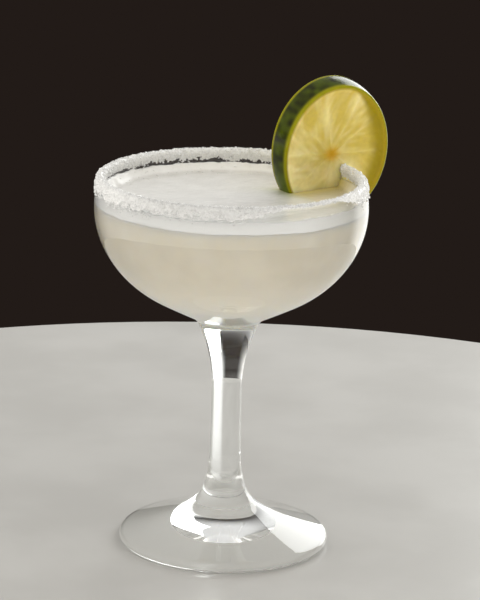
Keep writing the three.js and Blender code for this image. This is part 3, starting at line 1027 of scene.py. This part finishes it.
def make_salt_grains(material):
    """Single crystals on the crust, and a few loose ones on the bare glass below it."""
    tried = 18000
    reach_outside, reach_inside, off_lime = -7.2, 4.8, 0.4
    usual_size, size_spread, smallest, largest = 0.42, 0.25, 0.22, 0.75
    front_shrinking = 0.3
    angle = random.uniform(0, 2 * math.pi, tried)
    along = random.uniform(reach_outside, reach_inside, tried)
    cover = salt_cover(angle, along)
    clear = outside_lime(lip_point(angle, along, np.zeros(tried))) > off_lime
    kept = (random.uniform(size=tried) < grain_chance(angle, along, cover)) & clear
    angle, along, cover = angle[kept], along[kept], cover[kept]
    count = len(angle)
    size = np.clip(random.lognormal(math.log(usual_size), size_spread, count), smallest, largest)
    size *= 1 - front_shrinking * front_outside(angle, along)
    crust = np.where(cover > SALT_COVERS, salt_depth(angle, along), 0.0)
    middle = lip_point(angle, along, crust * 0.85 + size * 0.22)
    corners = np.array([[x, y, z] for x in (-1, 1) for y in (-1, 1) for z in (-1, 1)]) / 2
    shape = [[0, 1, 3, 2], [4, 6, 7, 5], [0, 4, 5, 1], [2, 3, 7, 6], [0, 2, 6, 4], [1, 5, 7, 3]]
    stretch = random.uniform(0.65, 1.15, (count, 1, 3))
    knocks = random.uniform(-0.12, 0.12, (count, len(corners), 3))
    crystal = (corners[None] + knocks) * stretch * size[:, None, None]
    crystal = np.einsum("nij,nkj->nki", random_turns(count), crystal)
    points = (middle[:, None, :] + crystal).reshape(-1, 3)
    starts = np.arange(count) * len(corners)
    faces = (starts[:, None, None] + np.array(shape)[None]).reshape(-1, 4).tolist()
    grains = make_object("salt_grains", points, faces, material, smooth=False)
    shade = random.uniform(0.88, 1.0, count) * salt_tone_and_painted_shade(middle)
    paint_grey(grains, "tint", np.repeat(shade, len(corners)))
    finish_piece(grains, "salt_rim")


# Stage, light and camera

def make_floor():
    radius, thick, round_edge, top = 292.0, 18.0, 3.0, 0.05
    first_ring = 20
    across = np.concatenate([[0], np.linspace(first_ring, radius - round_edge, 12)])
    surface = np.stack([across[::-1], np.full(len(across), top)], axis=1)
    edge = arc((radius - round_edge, top - round_edge), round_edge, 0, math.pi / 2, steps=8)[:-1]
    under = [[0, top - thick], [radius, top - thick]]
    points, faces = turned(np.concatenate([under, edge, surface]), turns=128)
    floor = make_object("floor", points, faces, floor_material())
    keep_edges(floor, degrees=40)


def direction(azimuth, elevation):
    """A direction by its azimuth and elevation, in degrees."""
    azimuth, elevation = math.radians(azimuth), math.radians(elevation)
    level = math.cos(elevation)
    return (level * math.sin(azimuth), level * math.cos(azimuth), math.sin(elevation))


def look_matrix(place, target):
    """A matrix at a place whose -Z axis points at a target."""
    way = (target - place).normalized()
    return Matrix.Translation(place) @ way.to_track_quat("-Z", "Y").to_matrix().to_4x4()


def make_lamp(name, place, target, size, energy, colour):
    lamp = bpy.data.lights.new(name, "AREA")
    lamp.shape = "RECTANGLE"
    lamp.size = size[0] * MM
    lamp.size_y = size[1] * MM
    lamp.energy = energy
    lamp.color = colour
    holder = bpy.data.objects.new(name, lamp)
    holder.matrix_world = look_matrix(Vector(place) * MM, Vector(target) * MM)
    holder.visible_camera = False
    bpy.context.scene.collection.objects.link(holder)
    return holder


def make_light():
    """A window behind on the right, and a low fill before the foot that lights the bowl from below."""
    window_way = Vector(direction(WINDOW_AZIMUTH, WINDOW_ELEVATION))
    window_place = Vector(LIGHT_MIDDLE) + window_way * WINDOW_DISTANCE
    make_lamp("window", window_place, LIGHT_MIDDLE, (900, 900), energy=11.0, colour=(0.98, 1.0, 0.985))
    fill_place, fill_target = (0, -95, 2), (0, -70, 100)
    fill = make_lamp("fill", fill_place, fill_target, (420, 100), energy=0.205, colour=(1.0, 0.955, 0.9))
    # With a narrow spread the fill doesn't show in the stem.
    fill.data.spread = math.radians(110)
    fill.visible_glossy = False


def make_screen():
    """A curved screen of soft light, low on the viewer's side and below the window.

    The camera doesn't see the screen, only its light.
    """
    front_light, glow_light = (1.8, 1.755, 1.655), (2.0, 2.0, 1.95)
    radius, low, high, rows, turns = 1600.0, -1100.0, 760.0, 21, 90
    middle = LIGHT_MIDDLE[2]
    front_top = 460.0
    side_start, side_range = -0.7, 0.8
    glow_start, glow_range = 0.89, 0.08
    height, azimuth = np.meshgrid(np.linspace(low, high, rows), angles_round(turns), indexing="ij")
    height, azimuth = height.ravel(), azimuth.ravel()
    points = np.stack([radius * np.sin(azimuth), radius * np.cos(azimuth), height], axis=1)
    frontness = np.cos(azimuth - math.radians(FRONT_AZIMUTH))
    front = np.clip((frontness - side_start) / side_range, 0, 1)
    front *= np.clip((front_top - height) / (front_top - middle), 0, 1)
    way = points - np.array(LIGHT_MIDDLE)
    way /= np.linalg.norm(way, axis=1)[:, None]
    glow = way @ np.array(direction(GLOW_AZIMUTH, GLOW_ELEVATION))
    glow = np.clip((glow - glow_start) / glow_range, 0, 1)
    light = np.outer(front, front_light) + np.outer(glow, glow_light)
    faces = [face for face in ring_faces(rows, turns) if light[face].max() > 0]
    material, tree, shader = new_material("screen")
    set_inputs(tree, shader, Base_Color=(0, 0, 0, 1))
    set_inputs(tree, shader, Emission_Color=painted(tree, "light"), Emission_Strength=1.0)
    screen = make_object("screen", points, faces, material)
    paint(screen, "light", light)
    screen.visible_camera = False


def towards(tree, way, azimuth, elevation):
    """How nearly a direction points to an azimuth and an elevation, in degrees."""
    inputs = {0: way, 1: direction(azimuth, elevation)}
    return add_node(tree, "ShaderNodeVectorMath", inputs, operation="DOT_PRODUCT").outputs["Value"]


def make_world():
    """A soft dome, brightest high on the viewer's side and dark at the back."""
    back_low, back_high = (0.016, 0.011, 0.009), (0.77, 0.765, 0.75)
    front_low, front_high = (0.05, 0.045, 0.042), (1.08, 1.055, 1.0)
    world = bpy.data.worlds.new("studio")
    world.use_nodes = True
    tree = world.node_tree
    way = add_node(tree, "ShaderNodeTexCoord", {}).outputs["Generated"]
    upwards = towards(tree, way, 0, 90)
    frontwards = towards(tree, way, FRONT_AZIMUTH, 0)
    back = mix_node(tree, range_node(tree, upwards, 0.08, 0.6), back_low, back_high)
    front = mix_node(tree, range_node(tree, upwards, 0.0, 0.2), front_low, front_high)
    colour = mix_node(tree, range_node(tree, frontwards, -0.55, 0.25), back, front)
    tree.links.new(colour, tree.nodes["Background"].inputs["Color"])
    bpy.context.scene.world = world


def make_camera():
    forward = Vector((
        math.sin(CAMERA_YAW) * math.cos(CAMERA_PITCH),
        math.cos(CAMERA_YAW) * math.cos(CAMERA_PITCH),
        -math.sin(CAMERA_PITCH),
    ))
    right = forward.cross(Vector((0, 0, 1))).normalized()
    up = right.cross(forward)
    across = right * math.cos(CAMERA_ROLL) + up * math.sin(CAMERA_ROLL)
    upwards = up * math.cos(CAMERA_ROLL) - right * math.sin(CAMERA_ROLL)
    turn = Matrix((across, upwards, -forward)).transposed().to_4x4()
    data = bpy.data.cameras.new("camera")
    data.lens = CAMERA_LENS
    data.sensor_width = CAMERA_SENSOR
    data.clip_start = 0.05
    data.clip_end = 20
    camera = bpy.data.objects.new("camera", data)
    camera.matrix_world = Matrix.Translation(Vector(CAMERA_PLACE) * MM) @ turn
    bpy.context.scene.collection.objects.link(camera)
    bpy.context.scene.camera = camera


def set_picture():
    scene = bpy.context.scene
    scene.view_settings.view_transform = "Standard"
    scene.view_settings.look = "None"
    scene.cycles.max_bounces = 20
    scene.cycles.transmission_bounces = 16
    scene.cycles.glossy_bounces = 8
    scene.cycles.diffuse_bounces = 5


make_camera()
make_light()
make_screen()
make_world()
make_floor()
set_picture()
make_glass()
make_lime()
make_drink()
make_bubbles(make_foam())
salt = salt_material()
make_salt_crust(salt)
make_salt_grains(salt)
